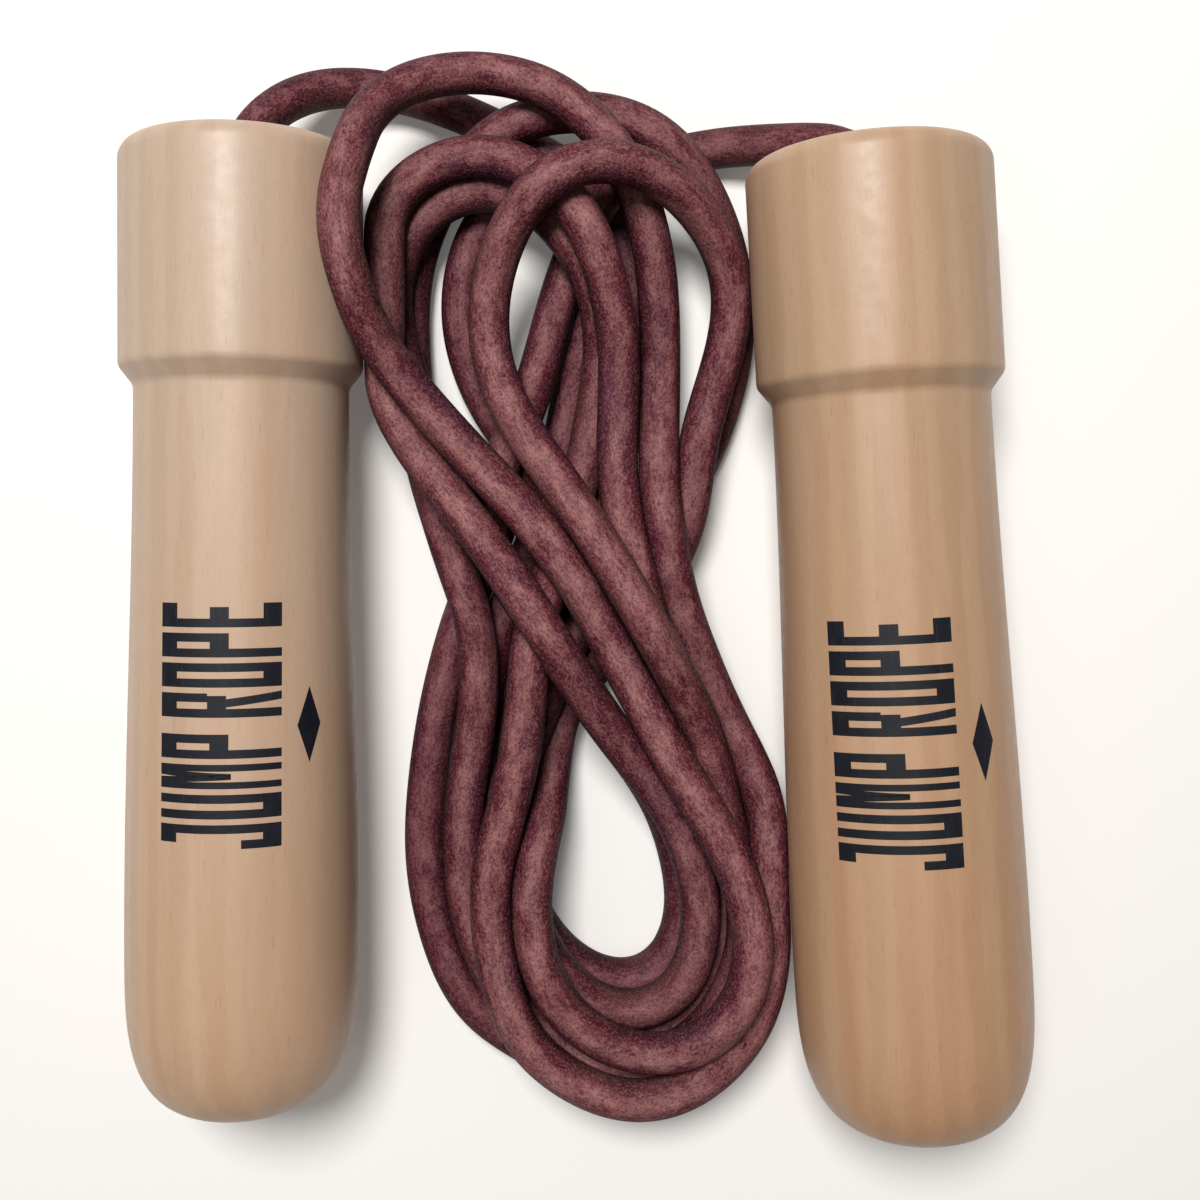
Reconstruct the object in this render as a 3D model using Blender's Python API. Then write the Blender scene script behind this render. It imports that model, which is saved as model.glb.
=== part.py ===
"""Jump rope: two turned wooden handles, a ball bearing in each collar, and one leather rope wound in a hank.

Metres, with +Z up. The handles lie side by side on the surface z = 0, +Y points along them towards the
end that the rope leaves, and the origin is on that surface, below the middle of the handles' own box.
Each handle's pieces hang on an empty at the centre of its end face, whose +Y points out of the handle.
"""

import math

import bmesh
import bpy
from mathutils import Vector

MM = 0.001
WELD = 1e-6
GAP = 0.3

# Handle, in millimetres. "Along" is the distance from the end face into the handle.
HANDLE_LENGTH = 160.0
COLLAR_RADIUS = 20.0
COLLAR_LENGTH = 36.8
COLLAR_CORNER = 3.1
STEP_LENGTH = 3.1
NECK_RADIUS = 17.6
BELLY_RADIUS = 19.15
BELLY_ALONG = 131.5
END_SQUARENESS = 3.5
END_FLAT_RADIUS = 5.0
END_STEPS = 8
SHANK_STEPS = 7
HANDLE_SEGMENTS = 36

# Where the handles lie: the centre of each end face, and the turn about Z.
LEFT_FACE = (-55.2, 81.2)
RIGHT_FACE = (48.7, 78.85)
LEFT_TURN = 0.0
RIGHT_TURN = math.radians(3.2)

# Hollow in the end of the handle.
RECESS_DEPTH = 7.0
BORE_RADIUS = 9.0
BORE_DEPTH = 36.0
MOUTH_CHAMFER = 0.8

# 608-size ball bearing: 8 x 22 x 7 mm.
BEARING_RADIUS = 11.0
BEARING_BORE = 4.0
BEARING_WIDTH = 7.0
PITCH_RADIUS = 7.5
BALLS = 7
BALL_RADIUS = 1.85
BALL_GAP = 0.15
INNER_SHOULDER = 6.05
OUTER_SHOULDER = 9.1
SHIELD_SEAT_RADIUS = 9.6
SHIELD_SEAT_WIDTH = 0.8
SHIELD_THICKNESS = 0.35
CAGE_THICKNESS = 1.5
CAGE_WIDTH = 4.8
RACE_SEGMENTS = 32

# Rope and what stops it from pulling out of the handle.
ROPE_RADIUS = 3.5
WASHER_RADIUS = 5.8
WASHER_THICKNESS = 1.5
FERRULE_RADIUS = 6.0
FERRULE_LENGTH = 12.0
FERRULE_LIP = 0.8
CRIMP_DEPTH = 0.9
LEAD_STEP = 2.2 * 2 * ROPE_RADIUS
LEAD_SIDES = 2

# The hank's solid.
HANK_HEIGHT = 22.0
HANK_ROUND = 6.0
HANK_OUTLINE_STEP = 4.0

AXIS_HEIGHT = COLLAR_RADIUS
BEARING_MIDDLE = RECESS_DEPTH + BEARING_WIDTH / 2
BEARING_BACK = RECESS_DEPTH + BEARING_WIDTH
WASHER_ALONG = BEARING_BACK + GAP
FERRULE_ALONG = WASHER_ALONG + WASHER_THICKNESS + GAP
ROPE_END_ALONG = FERRULE_ALONG + FERRULE_LENGTH - GAP

# Route of each lead from the bearing to the hank, in millimetres.
LEFT_LEAD = [
    (-55.2, 77.0, 20.0),
    (-54.9, 81.0, 19.6),
    (-53.8, 84.6, 18.4),
    (-52.0, 87.6, 16.5),
    (-50.2, 90.4, 14.5),
    (-48.0, 92.6, 12.6),
    (-45.2, 94.3, 11.0),
    (-41.8, 95.4, 9.6),
    (-38.0, 95.9, 8.7),
    (-33.6, 95.6, 8.2),
]
RIGHT_LEAD = [
    (48.95, 73.2, 20.0), (48.55, 76.0, 19.6), (47.4, 79.0, 18.3), (45.7, 81.2, 16.3), (43.5, 82.4, 13.9),
    (40.6, 83.1, 11.3), (37.0, 84.0, 9.1), (32.7, 84.8, 7.4), (28.2, 85.2, 6.6), (24.4, 85.0, 6.5),
]

# Outline of the hank seen from above, clockwise from its top.
HANK_OUTLINE = [
    (-16.2, 97.0),
    (-2.2, 95.0),
    (10.8, 90.5),
    (19.8, 84.5),
    (26.3, 74.5),
    (27.8, 58.0),
    (27.4, 40.0),
    (23.3, 23.5),
    (19.2, 9.0),
    (25.3, -9.7),
    (32.8, -26.7),
    (35.4, -44.7),
    (35.0, -59.7),
    (30.3, -73.2),
    (21.3, -81.2),
    (10.8, -83.7),
    (0.3, -80.7),
    (-9.7, -72.2),
    (-20.7, -64.2),
    (-27.7, -49.7),
    (-29.2, -33.7),
    (-24.2, -10.7),
    (-20.7, 7.0),
    (-26.2, 21.0),
    (-32.0, 35.0),
    (-34.5, 51.0),
    (-34.5, 69.0),
    (-32.4, 82.0),
    (-29.6, 93.0),
]

# name: colour, roughness, metallic
FINISHES = {
    "wood": ((0.62, 0.47, 0.33), 0.42, 0.0),
    "leather": ((0.17, 0.055, 0.05), 0.72, 0.0),
    "race_steel": ((0.58, 0.58, 0.60), 0.22, 1.0),
    "ball_steel": ((0.72, 0.72, 0.74), 0.08, 1.0),
    "cage_nylon": ((0.80, 0.76, 0.64), 0.50, 0.0),
    "shield_steel": ((0.46, 0.46, 0.48), 0.35, 1.0),
    "zinc": ((0.60, 0.61, 0.62), 0.38, 1.0),
    "brass": ((0.70, 0.50, 0.22), 0.30, 1.0),
}


def clear_scene():
    for old in list(bpy.data.objects):
        bpy.data.objects.remove(old, do_unlink=True)


def finish(name):
    """The material of that name, made the first time it is asked for."""
    found = bpy.data.materials.get(name)
    if found:
        return found
    colour, roughness, metallic = FINISHES[name]
    made = bpy.data.materials.new(name)
    made.use_nodes = True
    shader = made.node_tree.nodes["Principled BSDF"]
    shader.inputs["Base Color"].default_value = (*colour, 1.0)
    shader.inputs["Roughness"].default_value = roughness
    shader.inputs["Metallic"].default_value = metallic
    return made


def add(name, data, finish_name, parent=None):
    """Puts a mesh or a curve in the scene under its name, with its finish."""
    piece = bpy.data.objects.new(name, data)
    bpy.context.collection.objects.link(piece)
    piece.data.materials.append(finish(finish_name))
    piece.parent = parent
    return piece


def mesh_from(name, work):
    """Turns a bmesh into a smooth-shaded mesh whose edges over 35 degrees stay sharp."""
    bmesh.ops.recalc_face_normals(work, faces=work.faces)
    mesh = bpy.data.meshes.new(name)
    work.to_mesh(mesh)
    work.free()
    mesh.shade_smooth()
    mesh.set_sharp_from_angle(angle=math.radians(35))
    return mesh


def turned(name, outline, segments):
    """A mesh turned about Y from a closed outline of (along, radius), with along counted down from y = 0."""
    work = bmesh.new()
    points = [work.verts.new((radius * MM, -along * MM, 0.0)) for along, radius in outline]
    edges = [work.edges.new(pair) for pair in zip(points, points[1:] + points[:1])]
    bmesh.ops.spin(
        work,
        geom=points + edges,
        cent=(0.0, 0.0, 0.0),
        axis=(0.0, 1.0, 0.0),
        angle=math.tau,
        steps=segments,
        use_merge=True,
    )
    bmesh.ops.remove_doubles(work, verts=work.verts, dist=WELD)
    loose = [edge for edge in work.edges if not edge.link_faces]
    bmesh.ops.delete(work, geom=loose, context="EDGES")
    return mesh_from(name, work)


def arc(centre, radius, start, end, steps):
    """Points of (along, radius) on an arc, with angles in degrees from the along axis."""
    angles = [math.radians(start + (end - start) * step / steps) for step in range(steps + 1)]
    return [(centre[0] + radius * math.cos(a), centre[1] + radius * math.sin(a)) for a in angles]


def shank_radius(along):
    """Radius between the step and the belly, which swells in one smooth curve."""
    start = COLLAR_LENGTH + STEP_LENGTH
    share = (along - start) / (BELLY_ALONG - start)
    return NECK_RADIUS + (BELLY_RADIUS - NECK_RADIUS) * share * share * (3 - 2 * share)


def handle_outline():
    """Outside of the handle from the recess's mouth to the butt, then back along the bored inside."""
    seat_radius = BEARING_RADIUS + GAP
    outline = [(MOUTH_CHAMFER, seat_radius), (0.0, seat_radius + MOUTH_CHAMFER)]
    outline += arc((COLLAR_CORNER, COLLAR_RADIUS - COLLAR_CORNER), COLLAR_CORNER, 180, 90, 4)
    outline.append((COLLAR_LENGTH, COLLAR_RADIUS))
    neck = COLLAR_LENGTH + STEP_LENGTH
    for step in range(SHANK_STEPS + 1):
        along = neck + (BELLY_ALONG - neck) * step / SHANK_STEPS
        outline.append((along, shank_radius(along)))
    end_depth = HANDLE_LENGTH - BELLY_ALONG
    for step in range(1, END_STEPS + 1):
        share = math.sin(step / END_STEPS * math.pi / 2)
        radius = BELLY_RADIUS * max(0.0, 1 - share**END_SQUARENESS) ** (1 / END_SQUARENESS)
        outline.append((BELLY_ALONG + end_depth * share, max(radius, END_FLAT_RADIUS)))
    outline.append((HANDLE_LENGTH, 0.0))
    outline.append((BORE_DEPTH, 0.0))
    outline.append((BORE_DEPTH, BORE_RADIUS))
    outline.append((BEARING_BACK + GAP, BORE_RADIUS))
    outline.append((BEARING_BACK + GAP, seat_radius))
    return outline


def add_handle(side, parent):
    add(f"{side}_handle", turned(f"{side}_handle", handle_outline(), HANDLE_SEGMENTS), "wood", parent)


def ring_outline(low, high, inner, outer):
    return [(low, inner), (low, outer), (high, outer), (high, inner)]


def groove(shoulder, start, end):
    """Ball track as an arc about the ball's centre, which meets the shoulder's radius at both ends."""
    radius = BALL_RADIUS + BALL_GAP
    reach = math.degrees(math.acos(abs(shoulder - PITCH_RADIUS) / radius))
    towards = 90 if shoulder > PITCH_RADIUS else 270
    first = towards + (reach if start > end else -reach)
    last = towards - (reach if start > end else -reach)
    return arc((BEARING_MIDDLE, PITCH_RADIUS), radius, first, last, 6)


def outer_race_outline():
    front = RECESS_DEPTH
    back = BEARING_BACK
    inside = [
        (front, SHIELD_SEAT_RADIUS),
        (front + SHIELD_SEAT_WIDTH, SHIELD_SEAT_RADIUS),
        (front + SHIELD_SEAT_WIDTH, OUTER_SHOULDER),
        *groove(OUTER_SHOULDER, 1, 0),
        (back - SHIELD_SEAT_WIDTH, OUTER_SHOULDER),
        (back - SHIELD_SEAT_WIDTH, SHIELD_SEAT_RADIUS),
        (back, SHIELD_SEAT_RADIUS),
    ]
    return inside + [(back, BEARING_RADIUS), (front, BEARING_RADIUS)]


def inner_race_outline():
    front = RECESS_DEPTH
    back = BEARING_BACK
    track = groove(INNER_SHOULDER, 0, 1)
    return [(front, BEARING_BORE), (front, INNER_SHOULDER), *track, (back, INNER_SHOULDER), (back, BEARING_BORE)]


def ball_place(number):
    """Centre of one ball, in millimetres, in the handle's frame."""
    angle = math.tau * number / BALLS
    return Vector((PITCH_RADIUS * math.cos(angle), -BEARING_MIDDLE, PITCH_RADIUS * math.sin(angle)))


def add_cage(side, parent):
    """Ball cage: a ring with one round pocket drilled through it for each ball."""
    low = BEARING_MIDDLE - CAGE_WIDTH / 2
    high = BEARING_MIDDLE + CAGE_WIDTH / 2
    inner = PITCH_RADIUS - CAGE_THICKNESS / 2
    outer = PITCH_RADIUS + CAGE_THICKNESS / 2
    outline = ring_outline(low, high, inner, outer)
    cage = add(f"{side}_ball_cage", turned(f"{side}_ball_cage", outline, 28), "cage_nylon", parent)
    drills = bmesh.new()
    for number in range(BALLS):
        centre = ball_place(number)
        outward = Vector((centre.x, 0.0, centre.z)).normalized()
        turn = Vector((0.0, 0.0, 1.0)).rotation_difference(outward).to_matrix().to_4x4()
        turn.translation = centre * MM
        bmesh.ops.create_cone(
            drills,
            cap_ends=True,
            segments=14,
            radius1=(BALL_RADIUS + BALL_GAP) * MM,
            radius2=(BALL_RADIUS + BALL_GAP) * MM,
            depth=3 * CAGE_THICKNESS * MM,
            matrix=turn,
        )
    drill = add(f"{side}_pocket_drill", mesh_from(f"{side}_pocket_drill", drills), "cage_nylon", parent)
    drill.hide_render = True
    drill.display_type = "WIRE"
    pockets = cage.modifiers.new("pockets", "BOOLEAN")
    pockets.operation = "DIFFERENCE"
    pockets.object = drill


def ball_mesh():
    work = bmesh.new()
    bmesh.ops.create_icosphere(work, subdivisions=2, radius=BALL_RADIUS * MM)
    return mesh_from("ball", work)


def add_bearing(side, parent):
    outer = turned(f"{side}_outer_race", outer_race_outline(), RACE_SEGMENTS)
    add(f"{side}_outer_race", outer, "race_steel", parent)
    inner = turned(f"{side}_inner_race", inner_race_outline(), RACE_SEGMENTS)
    add(f"{side}_inner_race", inner, "race_steel", parent)
    add_cage(side, parent)
    shared_ball = ball_mesh()
    for number in range(BALLS):
        ball = add(f"{side}_ball_{number + 1}", shared_ball, "ball_steel", parent)
        ball.location = ball_place(number) * MM
    inset = (SHIELD_SEAT_WIDTH - SHIELD_THICKNESS) / 2
    for word, low in (
        ("front", RECESS_DEPTH + inset),
        ("rear", BEARING_BACK - inset - SHIELD_THICKNESS),
    ):
        shield = ring_outline(low, low + SHIELD_THICKNESS, INNER_SHOULDER + GAP, SHIELD_SEAT_RADIUS - GAP)
        name = f"{side}_{word}_shield"
        add(name, turned(name, shield, RACE_SEGMENTS), "shield_steel", parent)


def ferrule_outline():
    """Sleeve round the rope's end, with two crimped waists and a lip at its front."""
    inner = ROPE_RADIUS + GAP
    front = FERRULE_ALONG
    back = FERRULE_ALONG + FERRULE_LENGTH
    outline = [(front, inner), (front, FERRULE_RADIUS), (front + FERRULE_LIP, FERRULE_RADIUS)]
    body = FERRULE_RADIUS - FERRULE_LIP / 2
    for share, radius in ((0.2, body), (0.32, body - CRIMP_DEPTH), (0.45, body), (0.62, body),
                          (0.75, body - CRIMP_DEPTH), (0.88, body)):
        outline.append((front + FERRULE_LENGTH * share, radius))
    return outline + [(back, body), (back, inner)]


def add_rope_stop(side, parent):
    washer = ring_outline(WASHER_ALONG, WASHER_ALONG + WASHER_THICKNESS, ROPE_RADIUS + GAP, WASHER_RADIUS)
    add(f"{side}_thrust_washer", turned(f"{side}_thrust_washer", washer, 24), "zinc", parent)
    add(f"{side}_rope_ferrule", turned(f"{side}_rope_ferrule", ferrule_outline(), 24), "brass", parent)


def smooth_points(route, step, closed=False):
    """Points about one step apart on the Catmull-Rom curve through the route."""
    route = [Vector(point) for point in route]
    count = len(route)
    spans = count if closed else count - 1
    points = []
    for span in range(spans):
        if closed:
            a, b, c, d = (route[(span + offset) % count] for offset in (-1, 0, 1, 2))
        else:
            b, c = route[span], route[span + 1]
            a = route[span - 1] if span else 2 * b - c
            d = route[span + 2] if span + 2 < count else 2 * c - b
        pieces = max(1, round((c - b).length / step))
        for piece in range(pieces):
            t = piece / pieces
            points.append(
                0.5 * (2 * b + (c - a) * t + (2 * a - 5 * b + 4 * c - d) * t**2 + (3 * b - a - 3 * c + d) * t**3)
            )
    return points if closed else points + [route[-1]]


def side_frame(side, face, turn):
    """Empty at the centre of a handle's end face, with its +Y out of the handle along the spin axis."""
    frame = bpy.data.objects.new(f"{side}_axis", None)
    bpy.context.collection.objects.link(frame)
    frame.location = (face[0] * MM, face[1] * MM, AXIS_HEIGHT * MM)
    frame.rotation_euler = (0.0, 0.0, turn)
    return frame


def add_lead(side, face, turn, lead):
    """Rope from inside the ferrule, straight along the axis through the bearing, then down to the hank."""
    inward = Vector((math.sin(turn), -math.cos(turn), 0.0))
    centre = Vector((face[0], face[1], AXIS_HEIGHT))
    inside = [centre + inward * along for along in (ROPE_END_ALONG, BEARING_BACK, RECESS_DEPTH)]
    route = inside + [Vector(point) for point in lead]
    points = smooth_points(route, LEAD_STEP)
    curve = bpy.data.curves.new(f"{side}_rope_lead", "CURVE")
    curve.dimensions = "3D"
    curve.bevel_depth = ROPE_RADIUS * MM
    curve.bevel_resolution = LEAD_SIDES
    curve.use_fill_caps = True
    spline = curve.splines.new("POLY")
    spline.points.add(len(points) - 1)
    for place, point in zip(spline.points, points):
        place.co = (*(point * MM), 1.0)
    add(f"{side}_rope_lead", curve, "leather")


def add_hank():
    """Outer shape of the wound rope: its outline as a slab with rounded edges, lying on the surface."""
    points = smooth_points([(x, y, 0.0) for x, y in HANK_OUTLINE], HANK_OUTLINE_STEP, closed=True)
    work = bmesh.new()
    base = work.faces.new([work.verts.new(point * MM) for point in points])
    raised = bmesh.ops.extrude_face_region(work, geom=[base])
    top = [item for item in raised["geom"] if isinstance(item, bmesh.types.BMVert)]
    bmesh.ops.translate(work, verts=top, vec=(0.0, 0.0, HANK_HEIGHT * MM))
    rim = [edge for edge in work.edges if all(vert.co.z > WELD for vert in edge.verts)]
    bmesh.ops.bevel(
        work, geom=rim, offset=HANK_ROUND * MM, offset_type="OFFSET", segments=2, profile=0.5, affect="EDGES"
    )
    add("rope_hank", mesh_from("rope_hank", work), "leather")


def main():
    clear_scene()
    for side, face, turn, lead in (
        ("left", LEFT_FACE, LEFT_TURN, LEFT_LEAD),
        ("right", RIGHT_FACE, RIGHT_TURN, RIGHT_LEAD),
    ):
        parent = side_frame(side, face, turn)
        add_handle(side, parent)
        add_bearing(side, parent)
        add_rope_stop(side, parent)
        add_lead(side, face, turn, lead)
    add_hank()


main()
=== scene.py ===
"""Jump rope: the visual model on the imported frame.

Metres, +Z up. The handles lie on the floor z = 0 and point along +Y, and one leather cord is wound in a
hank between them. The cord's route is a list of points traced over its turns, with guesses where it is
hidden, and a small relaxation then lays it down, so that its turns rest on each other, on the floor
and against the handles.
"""

import math

import bpy
import numpy as np
from mathutils import Matrix, Vector


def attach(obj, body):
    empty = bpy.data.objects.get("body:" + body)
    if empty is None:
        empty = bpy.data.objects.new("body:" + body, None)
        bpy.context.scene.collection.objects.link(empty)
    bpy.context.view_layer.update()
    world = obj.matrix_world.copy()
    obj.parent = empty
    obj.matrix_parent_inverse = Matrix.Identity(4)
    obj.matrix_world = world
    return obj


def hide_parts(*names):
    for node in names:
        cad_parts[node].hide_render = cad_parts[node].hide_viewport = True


MM = 0.001

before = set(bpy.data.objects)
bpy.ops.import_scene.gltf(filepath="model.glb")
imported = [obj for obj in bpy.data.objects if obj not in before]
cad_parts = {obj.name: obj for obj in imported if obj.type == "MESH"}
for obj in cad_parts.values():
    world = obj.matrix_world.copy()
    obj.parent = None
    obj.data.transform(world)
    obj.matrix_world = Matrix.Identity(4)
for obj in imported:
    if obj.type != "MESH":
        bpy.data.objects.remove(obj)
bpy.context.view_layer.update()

# ---------------------------------------------------------------- sizes, in millimetres
HANDLE_LENGTH = 160.0
COLLAR_RADIUS = 20.0
COLLAR_LENGTH = 36.8
COLLAR_CORNER = 3.1
COLLAR_FLAT_START = 6
STEP_LENGTH = 3.1
EDGE_RADIUS = 2.2
FILLET_RADIUS = 2.2
NECK_RADIUS = 17.6
BELLY_RADIUS = 19.15
BELLY_ALONG = 131.5
END_SQUARENESS = 3.5
RECESS_DEPTH = 7.0
SEAT_RADIUS = 11.3
SEAT_DEPTH = 14.3
BORE_RADIUS = 9.0
BORE_DEPTH = 36.0
MOUTH_CHAMFER = 0.8
LEFT_FACE = (-55.2, 81.2)
RIGHT_FACE = (48.7, 78.85)
RIGHT_TURN = math.radians(3.2)
AXIS_HEIGHT = COLLAR_RADIUS

BEARING_FRONT = 7.0
BEARING_BACK = 14.0
BEARING_MIDDLE = (BEARING_FRONT + BEARING_BACK) / 2
BEARING_RADIUS = 11.0
BEARING_BORE = 4.0
PITCH_RADIUS = 7.5
TRACK_RADIUS = 2.0
INNER_SHOULDER = 6.05
OUTER_SHOULDER = 9.1
SHIELD_SEAT_RADIUS = 9.6
SHIELD_SEAT_WIDTH = 0.8
SHIELD_THICKNESS = 0.35
SHIELD_GAP = 0.3
BALLS = 7

ROPE_RADIUS = 3.5
ROPE_END_ALONG = 27.8
CORD_HOLE = ROPE_RADIUS + 0.3

WASHER_FRONT = 14.3
WASHER_BACK = 15.8
WASHER_RADIUS = 5.8

FERRULE_FRONT = 16.1
FERRULE_LENGTH = 12.0
FERRULE_RADIUS = 5.6
FERRULE_LIP_RADIUS = 6.0
CRIMP_DEPTH = 0.9
CRIMP_WIDTH = 0.045
CRIMP_MIDDLES = (0.32, 0.75)

# How many flat sides the turned pieces have round their axis.
HANDLE_SEGMENTS = 160
BEARING_SEGMENTS = 96
FITTING_SEGMENTS = 80

# How many points the stretches of their outlines get.
CORNER_STEPS = 14
COLLAR_POINTS = 14
STEP_ARC_STEPS = 6
SHANK_POINTS = 34
BUTT_POINTS = 34
GROOVE_STEPS = 16

SIDES = {"left": (LEFT_FACE, 0.0), "right": (RIGHT_FACE, RIGHT_TURN)}

# ---------------------------------------------------------------- the cord's route, in millimetres
# Traced by eye, turned into millimetres and rounded by a scratch program, then partly moved by hand.
# Heights and hidden stretches are guesses.
LEFT_LEAD = [
    (-55.2, 77.0, 20.0), (-54.9, 81.0, 19.6), (-53.8, 84.6, 18.4), (-52.0, 87.6, 16.5), (-50.2, 90.4, 14.5),
    (-48.0, 92.6, 12.6), (-45.2, 94.3, 11.0), (-41.8, 95.4, 9.6), (-38.0, 95.9, 8.7), (-33.6, 95.6, 8.2),
]
HANK_ROUTE = [
    # Left lead, under the arches and down between the right-hand runs.
    (-25, 93.5, 8), (-12.5, 88, 8), (2, 76, 7), (8.5, 60, 5), (9, 39.5, 4), (4.5, 22, 4),
    (-5.5, 4, 4), (-12, -16.5, 4), (-11, -40, 4),
    # Innermost bottom loop.
    (-8.5, -49.5, 4), (2, -61.5, 4), (14.5, -61.5, 4), (20, -48, 6), (16.5, -33.5, 7),
    # Back run up to the left.
    (11.5, -25, 8), (0.5, -8.5, 10), (-10.5, 8, 11), (-21, 26, 12), (-29, 45, 11),
    # Hidden top arch.
    (-31.5, 58.5, 10), (-27, 71, 10), (-14, 76.5, 9), (-1, 68.5, 10), (5, 54, 10), (4, 40, 9),
    (0.5, 23.5, 8), (-4.5, 5, 10),
    # Outer bottom loop.
    (-6.5, -4, 12), (-9, -22, 15), (-12.5, -37.5, 15), (-12.5, -54, 14), (-8.5, -68.5, 13),
    (3, -77, 12), (14.5, -79.5, 11), (25, -73, 11), (30.8, -64, 12), (33.6, -52, 14), (33.8, -40, 15),
    (31, -27, 16),
    # Right-hand run up to the big arch.
    (25.5, -13.5, 16), (20, -0.5, 15), (16, 14.5, 16), (15, 31, 16), (15, 48, 16), (14, 64.5, 16),
    # Big top arch.
    (7.5, 81, 17), (-3.5, 91.5, 19), (-17, 94.8, 21), (-29, 91, 24), (-35.5, 80, 30),
    (-37.5, 66, 34), (-34.5, 53, 30),
    # Front run down to the right.
    (-26, 40.5, 26), (-16, 29, 26), (-6, 18.5, 27), (2.5, 5.5, 27), (12, -11, 26),
    (20.5, -26.5, 25),
    # Middle bottom loop.
    (28, -40.5, 24), (30, -56, 22), (21.5, -69, 20), (8, -70.5, 19), (-2.5, -62, 17),
    (-7.5, -49, 12), (-8, -34.5, 7), (-5, -19, 7),
    # Run up to the right, under the crossing.
    (-1.5, -11, 8), (10, 3, 10), (18, 17.5, 12), (21.5, 33.5, 14), (26, 47.5, 16),
    # Front top loop.
    (27, 61, 19), (20, 72, 25), (8.5, 77.5, 28), (-3.5, 73.5, 27), (-11, 64.5, 25), (-14, 52, 24),
    (-11, 39, 24),
    # Run beside the front run.
    (-3, 27, 23), (6, 13.5, 22), (14.5, -1, 20), (21.5, -16.5, 17), (27.5, -33, 12),
    (30, -50, 8),
    # Bottom loop under the others.
    (28.5, -60, 8), (20, -72, 6), (6, -75.5, 6), (-8.5, -67, 7), (-18, -50, 9), (-19, -31, 10),
    (-16.5, -12.5, 10), (-17.5, 3.5, 13), (-23, 18, 17),
    # Left-hand run and back arch.
    (-27.5, 31, 16), (-29, 45.5, 10), (-29.5, 60, 7), (-25, 74.5, 8), (-13, 86.5, 10),
    (3.5, 90, 12), (17.5, 82.5, 14), (26.5, 68, 13), (28.5, 51, 10), (24.5, 35, 8), (18, 20.5, 10),
    # Second run under the crossing.
    (12.5, 13.5, 10), (0, -0.5, 10), (-7, -18.5, 9), (-10, -38, 8), (-6, -54, 11), (4, -65, 14),
    (16, -65, 14), (22, -52, 17), (19.5, -36.5, 20),
    # Second front run up to the left.
    (16, -29.5, 22), (6.5, -16, 22), (-3.5, -0.5, 24), (-12, 12.5, 24), (-22, 25, 23),
    (-30.5, 37.5, 22), (-36, 51, 21),
    # Inner top arch.
    (-35, 63.5, 19), (-29, 75.5, 17), (-16.5, 81, 16), (-4, 75, 17), (4.5, 62, 18),
    (8, 47.5, 18), (7.5, 31, 18), (9.5, 15, 17),
    # Run down the right, under the front runs.
    (11.5, 7, 16), (16.5, -10.5, 11), (23.5, -28.5, 6), (28, -46, 4), (25.5, -63, 4),
    (13, -73.5, 4), (-2, -70, 4), (-14, -55, 4), (-16, -35.5, 4), (-14, -15.5, 4),
    (-10.5, 3, 4), (-5.5, 20.5, 4),
    # Back run and lowest top arch.
    (-3, 30, 5), (0.5, 48.5, 5), (4.5, 63, 4), (1.5, 73.5, 4), (-7.5, 78.5, 4), (-16.5, 72.5, 4),
    (-20.5, 56.5, 4), (-16.5, 42, 6),
    # Lowest run down to the right.
    (-8, 28, 9), (3.5, 14.5, 12), (15, -3, 11), (24.5, -22, 8), (31, -41, 6), (31.5, -60, 4),
    (22.5, -75.5, 4), (5.5, -80, 4), (-11.5, -72.5, 4),
    # Outer left run and out to the right-hand handle.
    (-19.5, -66.5, 4), (-26.5, -45.5, 4), (-26, -25, 4), (-22.5, -6, 4), (-15.5, 13, 9),
    (-9, 32, 15), (-5, 49.5, 12), (0, 64.5, 10), (6.5, 77.5, 9), (14, 82.5, 7.5),
]
RIGHT_LEAD = [
    (20.5, 84.4, 6.8), (24.4, 85.0, 6.5), (28.2, 85.2, 6.6), (32.7, 84.8, 7.4), (37.0, 84.0, 9.1),
    (40.6, 83.1, 11.3), (43.5, 82.4, 13.9), (45.7, 81.2, 16.3), (47.4, 79.0, 18.3), (48.55, 76.0, 19.6),
    (48.95, 73.2, 20.0),
]

# Laying the cord down: lengths in millimetres, counts, and shares of a step.
CURVE_STEPS = 24
INSIDE_POINTS = 9
HELD_POINTS = 14
SETTLE_SPACING = 2.5
SETTLED_STRIDE = 2
SETTLE_ROUNDS = 420
NEIGHBOUR_EVERY = 12
NEIGHBOUR_REACH = 9.5
CONTACT = 2 * ROPE_RADIUS + 0.06
CONTACT_PASSES = 2
TOUCHES_SHARED = 0.45
CLEARANCE = 0.05
SKIP_ALONG_CORD = 6
FALL = 0.035
FALL_EASING = 0.8
ROUTE_PULL = 0.04
STIFFNESS = 0.08
BENDING_PASSES = 8
STACKING = 1.8
HEIGHT_EASING = 0.12

RING_SPACING = 1.15
RING_SIDES = 22

# The cord's unevenness, as shares of its radius: slow swelling along it, and flats that wind round it.
ROPE_SEED = 7
SWELL = 0.010
SWELL_SHARE = 0.6
SWELL_PERIODS = (3.1, 5.3, 8.7, 14.0, 23.0, 41.0)
FLAT = 0.008
FLAT_PERIODS_AND_TURNS = ((4.0, 2), (7.0, 3), (11.0, 2), (19.0, 1), (31.0, 2))


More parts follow.
